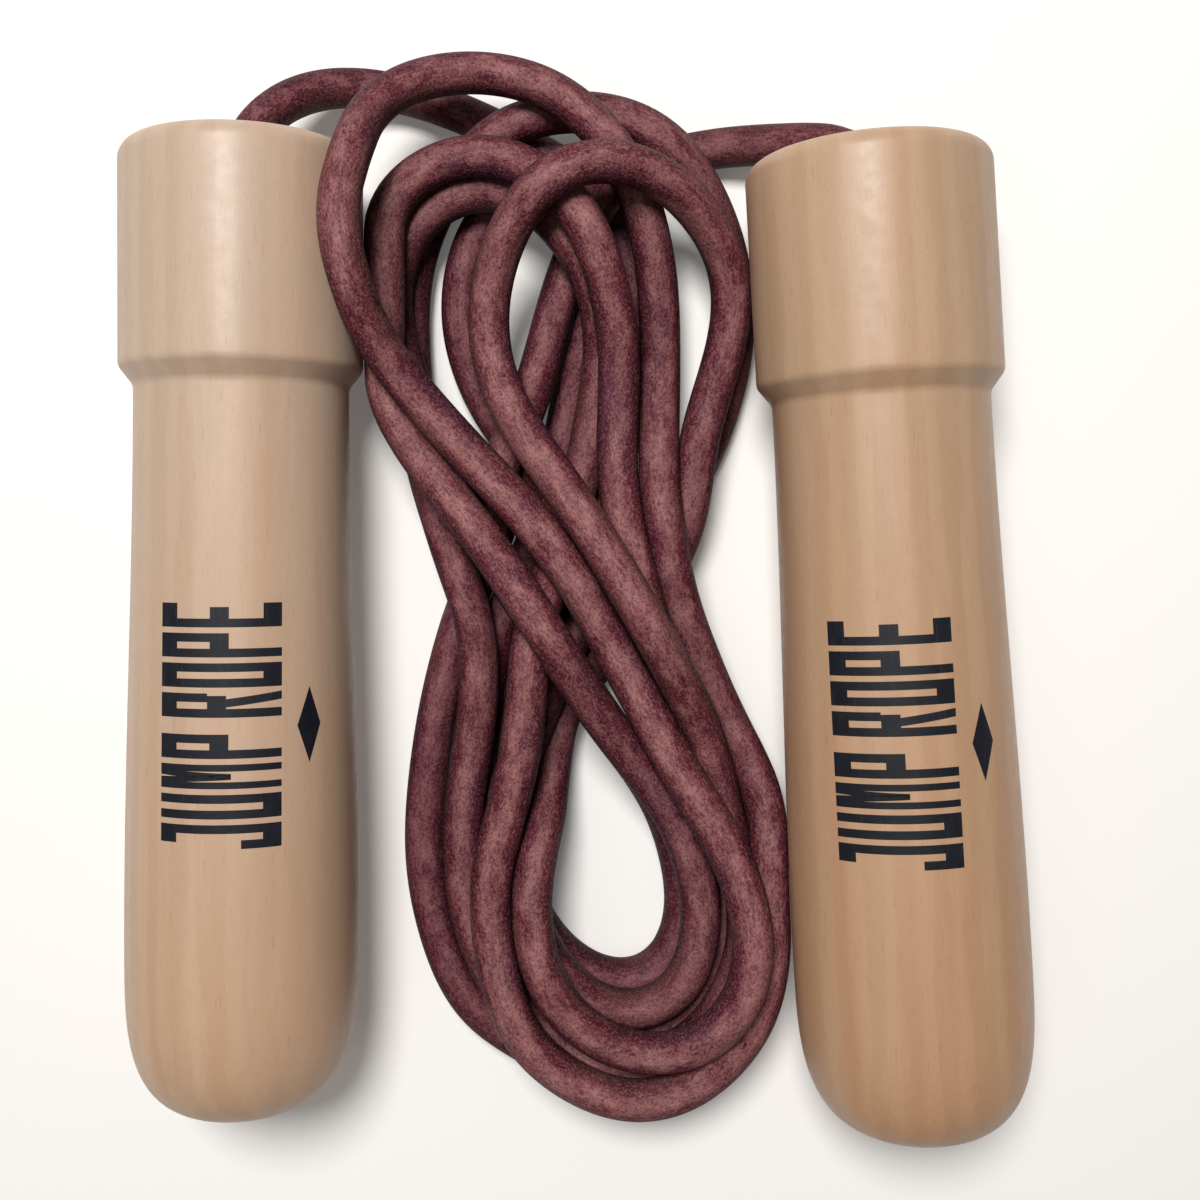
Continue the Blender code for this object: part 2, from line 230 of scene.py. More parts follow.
# ---------------------------------------------------------------- curves
def through(route, spacing):
    """Evenly spaced points on the uniform Catmull-Rom curve through the route, as an array."""
    points = [Vector(point) for point in route]
    points = [2 * points[0] - points[1]] + points + [2 * points[-1] - points[-2]]
    fine = []
    for a, b, c, d in zip(points, points[1:], points[2:], points[3:]):
        for t in np.linspace(0, 1, CURVE_STEPS, endpoint=False):
            fine.append(0.5 * (2 * b + (c - a) * t + (2 * a - 5 * b + 4 * c - d) * t**2
                               + (3 * b - a - 3 * c + d) * t**3))
    fine.append(points[-2])
    return evenly(np.array(fine), spacing)


def evenly(points, spacing):
    """The same line with its points one spacing apart."""
    run = np.concatenate([[0.0], np.cumsum(np.linalg.norm(np.diff(points, axis=0), axis=1))])
    count = max(2, round(run[-1] / spacing) + 1)
    wanted = np.linspace(0, run[-1], count)
    return np.stack([np.interp(wanted, run, points[:, axis]) for axis in range(3)], axis=1)


def eased(share):
    share = np.clip(share, 0, 1)
    return share * share * (3 - 2 * share)


# ---------------------------------------------------------------- handle profile
def shank_radius(along):
    start = COLLAR_LENGTH + STEP_LENGTH
    return NECK_RADIUS + (BELLY_RADIUS - NECK_RADIUS) * eased((along - start) / (BELLY_ALONG - start))


def arc(centre, radius, start, end, steps):
    """Points of (along, radius) on an arc, with angles in degrees from the along axis."""
    angles = np.radians(np.linspace(start, end, steps + 1))
    return [(centre[0] + radius * math.cos(a), centre[1] + radius * math.sin(a)) for a in angles]


def outer_profile():
    """Outside of the handle as (along, radius), from the flat ring round the mouth to the butt's tip."""
    points = arc((COLLAR_CORNER, COLLAR_RADIUS - COLLAR_CORNER), COLLAR_CORNER, 180, 90, CORNER_STEPS)
    neck = COLLAR_LENGTH + STEP_LENGTH
    slope = math.atan2(COLLAR_RADIUS - NECK_RADIUS, STEP_LENGTH)
    lean = math.degrees(slope)
    # The step's two corners are rounded, and each arc touches both of the faces that it joins.
    before = EDGE_RADIUS * math.tan(slope / 2)
    after = FILLET_RADIUS * math.tan(slope / 2)
    collar = np.linspace(COLLAR_FLAT_START, COLLAR_LENGTH - before - 1, COLLAR_POINTS)
    points += [(along, COLLAR_RADIUS) for along in collar]
    points += arc((COLLAR_LENGTH - before, COLLAR_RADIUS - EDGE_RADIUS), EDGE_RADIUS, 90, 90 - lean,
                  STEP_ARC_STEPS)
    points += arc((neck + after, NECK_RADIUS + FILLET_RADIUS), FILLET_RADIUS, 270 - lean, 270,
                  STEP_ARC_STEPS)
    shank = np.linspace(neck + after + 2, BELLY_ALONG, SHANK_POINTS)
    points += [(along, shank_radius(along)) for along in shank]
    depth = HANDLE_LENGTH - BELLY_ALONG
    for share in np.sin(np.linspace(0, math.pi / 2, BUTT_POINTS)[1:]):
        radius = BELLY_RADIUS * max(0.0, 1 - share**END_SQUARENESS) ** (1 / END_SQUARENESS)
        points.append((BELLY_ALONG + depth * share, radius))
    return points


PROFILE = np.array(sorted(outer_profile()))


def profile_radius(along):
    return np.interp(along, PROFILE[:, 0], PROFILE[:, 1], left=COLLAR_RADIUS - COLLAR_CORNER, right=0.0)


# ---------------------------------------------------------------- laying the cord down
def inside_handle(side):
    """Straight stretch of the cord from its end in the ferrule to the front of the bearing."""
    (x, y), turn = SIDES[side]
    inward = Vector((math.sin(turn), -math.cos(turn), 0.0))
    face = Vector((x, y, AXIS_HEIGHT))
    stations = np.linspace(ROPE_END_ALONG, RECESS_DEPTH, INSIDE_POINTS)
    return [tuple(face + inward * along) for along in stations]


def push_off_handles(points, free):
    """Moves free points out of the handles, straight away from the handle's axis."""
    for (x, y), turn in SIDES.values():
        outward = np.array((-math.sin(turn), math.cos(turn), 0.0))
        offset = points - np.array((x, y, AXIS_HEIGHT))
        along = -offset @ outward
        radial = offset + along[:, None] * outward
        distance = np.linalg.norm(radial, axis=1)
        wanted = profile_radius(along) + ROPE_RADIUS + CLEARANCE
        hit = free & (along > -1) & (along < HANDLE_LENGTH) & (distance < wanted)
        points[hit] += radial[hit] * (wanted[hit] / distance[hit] - 1)[:, None]


def close_pairs(points, reach):
    """Pairs of points nearer than reach that aren't neighbours along the cord."""
    gaps = points[:, None, :] - points[None, :, :]
    first, second = np.nonzero(np.einsum("ijk,ijk->ij", gaps, gaps) < reach * reach)
    keep = second - first > SKIP_ALONG_CORD
    return first[keep], second[keep]


def push_apart(points, pairs, free):
    """Moves touching stretches of the cord apart, and gives back the deepest overlap that it found."""
    first, second = pairs
    gap = points[first] - points[second]
    depth = CONTACT - np.linalg.norm(gap, axis=1)
    hit = depth > 0
    first, second, gap, depth = (part[hit] for part in (first, second, gap, depth))
    # Turns of a hank ride up on each other sooner than they spread sideways.
    way = gap * np.array((1.0, 1.0, STACKING))
    move = way / np.maximum(np.linalg.norm(way, axis=1), 1e-6)[:, None] * (depth / 2)[:, None]
    total = np.zeros_like(points)
    touches = np.zeros(len(points))
    np.add.at(total, first, move)
    np.add.at(total, second, -move)
    np.add.at(touches, first, 1)
    np.add.at(touches, second, 1)
    points += total / np.maximum(1.0, touches * TOUCHES_SHARED)[:, None] * free[:, None]
    return float(depth.max()) if len(depth) else 0.0


def even_out(points, free):
    """Takes sharp changes of bend out of the free points, by the fourth difference along the cord."""
    for _ in range(BENDING_PASSES):
        bend = np.zeros_like(points)
        bend[2:-2] = points[:-4] - 4 * points[1:-3] + 6 * points[2:-2] - 4 * points[3:-1] + points[4:]
        points -= STIFFNESS * bend * free[:, None]


def ease_heights(points, free):
    """Draws each free point's height towards the mean of its two neighbours."""
    level = np.zeros(len(points))
    level[1:-1] = (points[:-2, 2] + points[2:, 2]) / 2 - points[1:-1, 2]
    points[:, 2] += HEIGHT_EASING * level * free


def settle(points, free):
    """Lets the cord sink, holds it near its route as seen from above, and pushes its turns apart.

    Some turns stay slightly inside each other. The deepest overlap that the last pass found is given back
    with the points.
    """
    route = points.copy()
    for number in range(SETTLE_ROUNDS):
        if number % NEIGHBOUR_EVERY == 0:
            pairs = close_pairs(points, NEIGHBOUR_REACH)
        share = number / SETTLE_ROUNDS
        points[free, 2] -= FALL * (1 - FALL_EASING * share)
        points[free, :2] += ROUTE_PULL * (route[free, :2] - points[free, :2])
        even_out(points, free)
        ease_heights(points, free)
        for _ in range(CONTACT_PASSES):
            deepest = push_apart(points, pairs, free)
        push_off_handles(points, free)
        points[free, 2] = np.maximum(points[free, 2], ROPE_RADIUS + CLEARANCE)
    return points, deepest


def cord_line():
    """Centreline of the whole cord, in metres, from its end in one handle to its end in the other."""
    start = inside_handle("left")
    end = inside_handle("right")[::-1]
    points = through(start + LEFT_LEAD + HANK_ROUTE + RIGHT_LEAD + end, SETTLE_SPACING)
    free = np.ones(len(points), bool)
    free[:HELD_POINTS] = False
    free[-HELD_POINTS:] = False
    points, deepest = settle(points, free)
    print(f"cord settled, {len(points)} points, deepest overlap {deepest:.2f} mm", flush=True)
    return through(points[::SETTLED_STRIDE], RING_SPACING) * MM


# ---------------------------------------------------------------- meshes
def new_object(name, vertices, faces, material, sharp=None):
    mesh = bpy.data.meshes.new(name)
    mesh.from_pydata([tuple(v) for v in vertices], [], faces)
    mesh.validate()
    mesh.update()
    mesh.shade_smooth()
    if sharp:
        mesh.set_sharp_from_angle(angle=math.radians(sharp))
    mesh.materials.append(material)
    made = bpy.data.objects.new(name, mesh)
    bpy.context.scene.collection.objects.link(made)
    return made


def grid_faces(rows, columns):
    """Quads between successive rings, each ring closed on itself."""
    faces = []
    for row in range(rows - 1):
        here, after = row * columns, (row + 1) * columns
        for column in range(columns):
            beside = (column + 1) % columns
            faces.append((here + column, here + beside, after + beside, after + column))
    return faces


def lathe(name, outline, segments, material, sharp=30):
    """Piece turned about its own Y from a closed outline of (along, radius) in millimetres."""
    angles = np.linspace(0, math.tau, segments, endpoint=False)
    vertices, rings, faces = [], [], []
    for along, radius in outline:
        if radius < 1e-6:
            rings.append([len(vertices)])
            vertices.append((0.0, -along * MM, 0.0))
            continue
        rings.append(list(range(len(vertices), len(vertices) + segments)))
        vertices += [(radius * MM * math.sin(a), -along * MM, radius * MM * math.cos(a)) for a in angles]
    for ring, after in zip(rings, rings[1:] + rings[:1]):
        if len(ring) == 1 and len(after) == 1:
            continue
        for k in range(segments):
            n = (k + 1) % segments
            corners = [ring[k % len(ring)], ring[n % len(ring)],
                       after[n % len(after)], after[k % len(after)]]
            faces.append(tuple(dict.fromkeys(corners)))
    return new_object(name, vertices, faces, material, sharp)


def place(piece, side, body):
    """Stands a piece made about its own Y on a handle's axis, and makes it ride on a body."""
    (x, y), turn = SIDES[side]
    piece.location = (x * MM, y * MM, AXIS_HEIGHT * MM)
    piece.rotation_euler = (0.0, 0.0, turn)
    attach(piece, body)


def transported_frames(line):
    """A right and an up direction at each point of the line, turned as little as possible along it."""
    tangents = np.gradient(line, axis=0)
    tangents /= np.linalg.norm(tangents, axis=1)[:, None]
    up = np.array((0.0, 0.0, 1.0))
    ups = []
    for tangent in tangents:
        up = up - tangent * (up @ tangent)
        up = up / np.linalg.norm(up)
        ups.append(up)
    ups = np.array(ups)
    return np.cross(tangents, ups), ups


def uneven_radius(run, angles):
    """Radius of the cord at each ring and angle, in metres."""
    rng = np.random.default_rng(ROPE_SEED)
    swell = sum(rng.normal(0, SWELL) * np.sin(run / period + rng.uniform(0, math.tau))
                for period in SWELL_PERIODS)
    flat = sum(rng.normal(0, FLAT) * np.sin(run[:, None] / period + turns * angles[None, :]
                                            + rng.uniform(0, math.tau))
               for period, turns in FLAT_PERIODS_AND_TURNS)
    return ROPE_RADIUS * MM * (1 + swell[:, None] * SWELL_SHARE + flat)


def straight_points(run, angles):
    """Where each point of the cord would be if the cord lay straight along Z, in metres."""
    straight = np.empty((len(run), len(angles), 3))
    straight[:, :, 0] = (ROPE_RADIUS * MM * np.cos(angles))[None, :]
    straight[:, :, 1] = (ROPE_RADIUS * MM * np.sin(angles))[None, :]
    straight[:, :, 2] = (run * MM)[:, None]
    return straight.reshape(-1).astype(np.float32)


def rope_mesh(line, material):
    """Round cord along the line. Its "cord" attribute gives each point as if the cord lay straight."""
    rights, ups = transported_frames(line)
    run = np.arange(len(line)) * RING_SPACING
    angles = np.linspace(0, math.tau, RING_SIDES, endpoint=False)
    radius = uneven_radius(run, angles)
    sideways = rights[:, None, :] * np.cos(angles)[None, :, None]
    upwards = ups[:, None, :] * np.sin(angles)[None, :, None]
    vertices = (line[:, None, :] + (sideways + upwards) * radius[:, :, None]).reshape(-1, 3)
    faces = grid_faces(len(line), RING_SIDES)
    faces.append(tuple(range(RING_SIDES)))
    faces.append(tuple(range(len(vertices) - RING_SIDES, len(vertices)))[::-1])
    rope = new_object("rope_cord", vertices, [face[::-1] for face in faces], material, 60)
    attribute = rope.data.attributes.new("cord", "FLOAT_VECTOR", "POINT")
    attribute.data.foreach_set("vector", straight_points(run, angles))
    return rope


# ---------------------------------------------------------------- materials
class Nodes:
    """Short way to write a node material."""

    def __init__(self, name, **settings):
        self.material = bpy.data.materials.new(name)
        self.material.use_nodes = True
        self.tree = self.material.node_tree
        self.shader = self.tree.nodes["Principled BSDF"]
        for socket, value in settings.items():
            self.shader.inputs[socket.replace("_", " ")].default_value = value

    def new(self, kind):
        return self.tree.nodes.new(kind)

    def link(self, source, target):
        self.tree.links.new(source, target)

    def set(self, node, socket, value):
        if isinstance(value, bpy.types.NodeSocket):
            self.link(value, node.inputs[socket])
        else:
            node.inputs[socket].default_value = value

    def local(self):
        """Object coordinates, in metres."""
        return self.new("ShaderNodeTexCoord").outputs["Object"]

    def attribute(self, name):
        node = self.new("ShaderNodeAttribute")
        node.attribute_name = name
        return node.outputs["Vector"]

    def component(self, vector, axis):
        node = self.new("ShaderNodeSeparateXYZ")
        self.link(vector, node.inputs[0])
        return node.outputs[axis]

    def scaled(self, vector, scale, offset=(0, 0, 0)):
        node = self.new("ShaderNodeMapping")
        self.link(vector, node.inputs["Vector"])
        node.inputs["Scale"].default_value = scale
        node.inputs["Location"].default_value = offset
        return node.outputs["Vector"]

    def noise(self, vector, scale, detail=3.0, roughness=0.5, distortion=0.0):
        node = self.new("ShaderNodeTexNoise")
        self.link(vector, node.inputs["Vector"])
        for socket, value in (("Scale", scale), ("Detail", detail), ("Roughness", roughness),
                              ("Distortion", distortion)):
            node.inputs[socket].default_value = value
        return node.outputs["Fac"]

    def voronoi(self, vector, scale):
        node = self.new("ShaderNodeTexVoronoi")
        self.link(vector, node.inputs["Vector"])
        node.inputs["Scale"].default_value = scale
        return node.outputs["Distance"]

    def wave(self, vector, scale, distortion, detail, detail_scale):
        """Rings about Y."""
        node = self.new("ShaderNodeTexWave")
        node.wave_type = "RINGS"
        node.rings_direction = "Y"
        self.link(vector, node.inputs["Vector"])
        for socket, value in (("Scale", scale), ("Distortion", distortion), ("Detail", detail),
                              ("Detail Scale", detail_scale)):
            node.inputs[socket].default_value = value
        return node.outputs["Fac"]

    def math(self, operation, first, second):
        node = self.new("ShaderNodeMath")
        node.operation = operation
        self.set(node, 0, first)
        self.set(node, 1, second)
        return node.outputs[0]

    def ramp(self, value, low, high, start=0.0, end=1.0):
        """value mapped from low..high to start..end, clamped."""
        node = self.new("ShaderNodeMapRange")
        self.link(value, node.inputs["Value"])
        for socket, number in (("From Min", low), ("From Max", high), ("To Min", start), ("To Max", end)):
            node.inputs[socket].default_value = number
        return node.outputs["Result"]

    def mix(self, share, first, second, blend="MIX"):
        node = self.new("ShaderNodeMix")
        node.data_type = "RGBA"
        node.blend_type = blend
        self.set(node, "Factor", share)
        for name, value in (("A", first), ("B", second)):
            socket = next(s for s in node.inputs if s.name == name and s.type == "RGBA")
            if isinstance(value, bpy.types.NodeSocket):
                self.link(value, socket)
            else:
                socket.default_value = (*value, 1.0)
        return next(s for s in node.outputs if s.type == "RGBA")

    def bump(self, height, distance, strength=1.0, normal=None):
        node = self.new("ShaderNodeBump")
        node.inputs["Strength"].default_value = strength
        node.inputs["Distance"].default_value = distance
        self.link(height, node.inputs["Height"])
        if normal is not None:
            self.link(normal, node.inputs["Normal"])
        return node.outputs["Normal"]

    def out(self, **sockets):
        for socket, value in sockets.items():
            self.link(value, self.shader.inputs[socket.replace("_", " ")])
        return self.material


LEATHER_DARK = (0.012, 0.0030, 0.0050)
# Painted shade for the cord's sides.
LEATHER_SIDE_SHADE = (0.036, 0.0050, 0.0095)
LEATHER_BODY = (0.112, 0.0190, 0.0300)
# Pale nap colour, also used as a painted highlight on the cord's upper side.
LEATHER_NAP_AND_HIGHLIGHT = (0.370, 0.1700, 0.1600)
LEATHER_COOL = (0.060, 0.0200, 0.0440)
# Tint for painted shade on the lower turns near the floor.
LEATHER_LOW_SHADE = (0.62, 0.52, 0.62)

# Tints laid over the wood: TAN grows towards the butt, and ROSE lies in soft streaks.
TAN = (1.0, 0.90, 0.80)
ROSE = (0.99, 0.925, 0.895)

# Warm white of the studio, for the floor's glow and the world's background.
ROOM_WHITE = (1.0, 0.985, 0.965, 1.0)
FLOOR_GLOW = 0.10

INK_BLACK = (0.004, 0.005, 0.009)
INK_RUBBED = (0.040, 0.033, 0.033)
INK_BLUE = (0.012, 0.016, 0.028)

NYLON_PALE = (0.80, 0.76, 0.64)
NYLON_YELLOWED = (0.70, 0.64, 0.50)
NYLON_GRIMY = (0.55, 0.48, 0.36)


def wood(name, pale, mid, dark, offset):
    """Turned maple under satin lacquer: soft bands along the grain, fine dark flecks and a faint blotch."""
    n = Nodes(name, Coat_Weight=0.15, Coat_Roughness=0.36, Specular_IOR_Level=0.4)
    local = n.scaled(n.local(), (1, 1, 1), offset)
    # Growth rings round a pith that lies far to one side, so that they show as long soft bands.
    bands = n.wave(n.scaled(local, (1.0, 0.10, 1.0), (0.058, 0.0, 0.021)), 62.0, 2.6, 2.0, 9.0)
    streaks = n.noise(n.scaled(local, (230, 9, 230)), 1.0, 4.0, 0.55)
    blotch = n.noise(n.scaled(local, (38, 13, 38)), 1.0, 3.0, 0.5, 0.4)
    flecks = n.noise(n.scaled(local, (2600, 240, 2600)), 1.0, 2.0, 0.5)
    grit = n.noise(local, 2100.0, 3.0, 0.6)
    colour = n.mix(n.ramp(bands, 0.25, 0.9, 0.1, 0.6), mid, pale)
    colour = n.mix(n.ramp(streaks, 0.42, 0.72, 0.0, 0.26), colour, dark)
    colour = n.mix(n.ramp(blotch, 0.35, 0.75, 0.0, 0.45), colour, pale)
    colour = n.mix(n.ramp(flecks, 0.62, 0.76, 0.0, 0.42), colour, dark)
    colour = n.mix(n.ramp(grit, 0.3, 0.8, 0.0, 0.22), colour, dark)
    tint = n.noise(n.scaled(local, (120, 3, 120), (0.3, 0.1, 0.7)), 1.0, 2.0, 0.5)
    colour = n.mix(n.ramp(tint, 0.40, 0.62), colour, n.mix(1.0, colour, ROSE, "MULTIPLY"))
    along = n.component(n.local(), "Y")
    colour = n.mix(n.ramp(along, -0.03, -0.15), colour, n.mix(1.0, colour, TAN, "MULTIPLY"))
    rough = n.ramp(n.noise(local, 420.0, 3.0), 0.3, 0.7, 0.40, 0.52)
    height = n.math("ADD", n.math("MULTIPLY", flecks, -0.6), n.math("MULTIPLY", streaks, 0.5))
    normal = n.bump(height, 0.00006, 0.35)
    normal = n.bump(n.noise(local, 1300.0, 2.0), 0.00003, 0.4, normal)
    return n.out(Base_Color=colour, Roughness=rough, Normal=normal)


def leather(name):
    """Oiled leather cord: maroon with mottled grain and faint fibres, painted shade on its sides and a
    painted highlight on its upper side.

    The painted shade and highlight follow the surface's direction, and painted shade on the lower turns
    follows its height.
    """
    n = Nodes(name, Specular_IOR_Level=0.15)
    straight = n.attribute("cord")
    upward = n.component(n.new("ShaderNodeNewGeometry").outputs["Normal"], "Z")
    patches = n.noise(n.scaled(straight, (150, 150, 42)), 1.0, 3.0, 0.55, 0.3)
    clouds = n.noise(n.scaled(straight, (420, 420, 200)), 1.0, 3.0, 0.6)
    mottle = n.noise(n.scaled(straight, (1500, 1500, 1000)), 1.0, 3.0, 0.62)
    nap = n.noise(n.scaled(straight, (3000, 3000, 2300)), 1.0, 2.0, 0.6)
    fibres = n.noise(n.scaled(straight, (1300, 1300, 110)), 1.0, 3.0, 0.55)
    pits = n.voronoi(n.scaled(straight, (1500, 1500, 1100)), 1.0)
    # Painted light: this mask rises with the surface's upward direction, with random cloudy and mottled
    # tone mixed in.
    paleness = n.math("ADD", upward, n.ramp(clouds, 0.3, 0.7, -0.22, 0.22))
    paleness = n.math("ADD", paleness, n.ramp(mottle, 0.3, 0.7, -0.12, 0.12))
    # Painted shade on the sides, then a painted highlight on the upper side.
    colour = n.mix(n.ramp(paleness, 0.30, 0.84), LEATHER_SIDE_SHADE, LEATHER_BODY)
    colour = n.mix(n.ramp(paleness, 0.76, 1.20, 0.0, 0.80), colour, LEATHER_NAP_AND_HIGHLIGHT)
    colour = n.mix(n.ramp(patches, 0.48, 0.75, 0.0, 0.40), colour, LEATHER_NAP_AND_HIGHLIGHT)
    colour = n.mix(n.ramp(patches, 0.44, 0.26, 0.0, 0.45), colour, LEATHER_COOL)
    colour = n.mix(n.ramp(nap, 0.50, 0.72, 0.0, 0.48), colour, LEATHER_NAP_AND_HIGHLIGHT)
    colour = n.mix(n.ramp(nap, 0.49, 0.32, 0.0, 0.52), colour, LEATHER_DARK)
    colour = n.mix(n.ramp(fibres, 0.56, 0.76, 0.0, 0.38), colour, LEATHER_DARK)
    colour = n.mix(n.ramp(pits, 0.26, 0.10, 0.0, 0.45), colour, LEATHER_DARK)
    # Painted shade: the inner turns, near the floor, are darkened.
    inner = n.ramp(n.component(n.local(), "Z"), 0.021, 0.006, 0.0, 0.9)
    colour = n.mix(inner, colour, n.mix(1.0, colour, LEATHER_LOW_SHADE, "MULTIPLY"))
    rough = n.ramp(mottle, 0.3, 0.7, 0.66, 0.52)
    grain = n.math("ADD", n.math("MULTIPLY", mottle, 0.8), n.math("MULTIPLY", nap, 0.35))
    grain = n.math("ADD", grain, n.math("MULTIPLY", n.ramp(pits, 0.0, 0.35), 0.5))
    normal = n.bump(grain, 0.00028, 0.6)
    normal = n.bump(n.math("ADD", fibres, n.math("MULTIPLY", patches, 0.6)), 0.0005, 0.25, normal)
    return n.out(Base_Color=colour, Roughness=rough, Normal=normal)


def ink(name):
    """Thin black print, paler where it is rubbed, in fine streaks along the grain."""
    n = Nodes(name, Specular_IOR_Level=0.3)
    local = n.local()
    paleness = n.noise(n.scaled(local, (1700, 260, 1700)), 1.0, 3.0, 0.6)
    cloud = n.noise(local, 260.0, 3.0, 0.5)
    colour = n.mix(n.ramp(paleness, 0.58, 0.8, 0.0, 0.5), INK_BLACK, INK_RUBBED)
    colour = n.mix(n.ramp(cloud, 0.4, 0.7, 0.0, 0.35), colour, INK_BLUE)
    rough = n.ramp(paleness, 0.3, 0.7, 0.50, 0.64)
    return n.out(Base_Color=colour, Roughness=rough, Normal=n.bump(paleness, 0.00004, 0.4))


def metal(name, colour, stain, rough):
    """Turned or ground metal with fine rings about the axis and a little uneven tone."""
    n = Nodes(name, Metallic=1.0)
    local = n.local()
    rings = n.noise(n.scaled(local, (90, 5200, 90)), 1.0, 2.0, 0.5)
    cloud = n.noise(local, 330.0, 4.0, 0.6)
    tone = n.mix(n.ramp(cloud, 0.4, 0.75, 0.0, 0.6), colour, stain)
    tone = n.mix(n.ramp(rings, 0.55, 0.8, 0.0, 0.25), tone, stain)
    smoothness = n.ramp(cloud, 0.3, 0.75, rough, rough + 0.16)
    return n.out(Base_Color=tone, Roughness=smoothness, Normal=n.bump(rings, 0.00002, 0.3))


def nylon(name):
    """Natural nylon of the ball cage, slightly yellowed and cloudy."""
    n = Nodes(name, Subsurface_Weight=0.1, Subsurface_Scale=0.001)
    local = n.local()
    cloud = n.noise(local, 500.0, 4.0, 0.6)
    grit = n.noise(local, 3000.0, 2.0, 0.6)
    tone = n.mix(n.ramp(cloud, 0.35, 0.7), NYLON_PALE, NYLON_YELLOWED)
    tone = n.mix(n.ramp(grit, 0.5, 0.8, 0.0, 0.3), tone, NYLON_GRIMY)
    rough = n.ramp(grit, 0.3, 0.7, 0.42, 0.58)
    return n.out(Base_Color=tone, Roughness=rough, Normal=n.bump(grit, 0.00003, 0.4))


def paper(name):
    """Matte pale floor with a slight glow of its own, which lifts the shadows on it."""
    n = Nodes(name, Specular_IOR_Level=0.15, Emission_Strength=FLOOR_GLOW, Emission_Color=ROOM_WHITE)
    local = n.local()
    cloud = n.noise(local, 9.0, 3.0, 0.5)
    tooth = n.noise(local, 900.0, 2.0, 0.6)
    tone = n.mix(n.ramp(cloud, 0.3, 0.7), (0.835, 0.815, 0.788), (0.825, 0.808, 0.782))
    return n.out(Base_Color=tone, Roughness=n.ramp(tooth, 0.3, 0.7, 0.86, 0.94),
                 Normal=n.bump(tooth, 0.00003, 0.15))


# ---------------------------------------------------------------- handles
def handle_outline():
    """Closed outline of the handle: mouth, outside, butt, then back along the bored inside."""
    mouth = [(MOUTH_CHAMFER, SEAT_RADIUS), (0.0, SEAT_RADIUS + MOUTH_CHAMFER)]
    bore = [(BORE_DEPTH, 0.0), (BORE_DEPTH, BORE_RADIUS)]
    seat = [(SEAT_DEPTH, BORE_RADIUS), (SEAT_DEPTH, SEAT_RADIUS)]
    return mouth + outer_profile()[:-1] + [(HANDLE_LENGTH, 0.0)] + bore + seat


# ---------------------------------------------------------------- print, in millimetres
PRINT_LIFT = 0.035
STROKE_ROWS = 18
STROKE_COLUMNS = 3
LOZENGE_STEPS = 10
LOZENGE = [(12.4, 94.5), (14.6, 88.5), (16.8, 94.5), (14.6, 100.5)]
PRINT_WORD = "JUMP ROPE"
PRINT_START = 113.0
LETTER_WIDTH = 3.75
LETTER_GAP = 0.9
SPACE_WIDTH = 1.7
LETTER_HEIGHT = 19.5
STEM = 0.36
BAR = 0.15
MIDDLE = 0.42
SHORT_MIDDLE = 0.44

# Each letter's strokes as left, bottom, right and top, in shares of the letter's width and height, and
# for a slanting stroke how far its foot is set over.
LEFT_STEM = (0.0, 0.0, STEM, 1.0)
RIGHT_STEM = (1 - STEM, 0.0, 1.0, 1.0)
TOP_BAR = (STEM, 1 - BAR, 1.0, 1.0)
FOOT_BAR = (STEM, 0.0, 1.0, BAR)
MIDDLE_BAR = (STEM, MIDDLE, 1.0, MIDDLE + BAR)
INNER_TOP = (STEM, 1 - BAR, 1 - STEM, 1.0)
INNER_FOOT = (STEM, 0.0, 1 - STEM, BAR)
BOWL = (1 - STEM, MIDDLE + BAR, 1.0, 1 - BAR)
SHORT_BAR = (STEM, SHORT_MIDDLE, 0.9, SHORT_MIDDLE + BAR)
SHORT_BOWL = (1 - STEM, SHORT_MIDDLE + BAR, 1.0, 1 - BAR)
LETTERS = {
    "J": [RIGHT_STEM, (0.0, 0.0, 1 - STEM, BAR), (0.0, BAR, STEM, 0.32), (0.25, 1 - BAR, 1 - STEM, 1.0)],
    "U": [LEFT_STEM, RIGHT_STEM, INNER_FOOT],
    "M": [(0.0, 0.0, 0.28, 1.0), (0.72, 0.0, 1.0, 1.0),
          (0.22, 0.4, 0.46, 1.0, 0.16), (0.54, 0.4, 0.78, 1.0, -0.16)],
    "P": [LEFT_STEM, TOP_BAR, MIDDLE_BAR, BOWL],
    "R": [LEFT_STEM, TOP_BAR, SHORT_BAR, SHORT_BOWL, (0.42, 0.0, 0.76, SHORT_MIDDLE, 0.28)],
    "O": [LEFT_STEM, RIGHT_STEM, INNER_TOP, INNER_FOOT],
    "E": [LEFT_STEM, TOP_BAR, (STEM, MIDDLE, 0.84, MIDDLE + BAR), FOOT_BAR],
}


def print_patch(corners, vertices, faces, across_steps, along_steps):
    """Adds a four-sided patch on the handle. Corners are (across, along), and across goes round it."""
    a, b, c, d = (np.array(corner) for corner in corners)
    first = len(vertices)
    for i in range(along_steps + 1):
        t = i / along_steps
        for j in range(across_steps + 1):
            share = j / across_steps
            across, along = (1 - t) * ((1 - share) * a + share * b) + t * ((1 - share) * d + share * c)
            radius = float(profile_radius(along)) + PRINT_LIFT
            angle = across / radius
            vertices.append((radius * math.sin(angle) * MM, -along * MM, radius * math.cos(angle) * MM))
    width = across_steps + 1
    for i in range(along_steps):
        for j in range(across_steps):
            k = first + i * width + j
            faces.append((k, k + 1, k + width + 1, k + width))


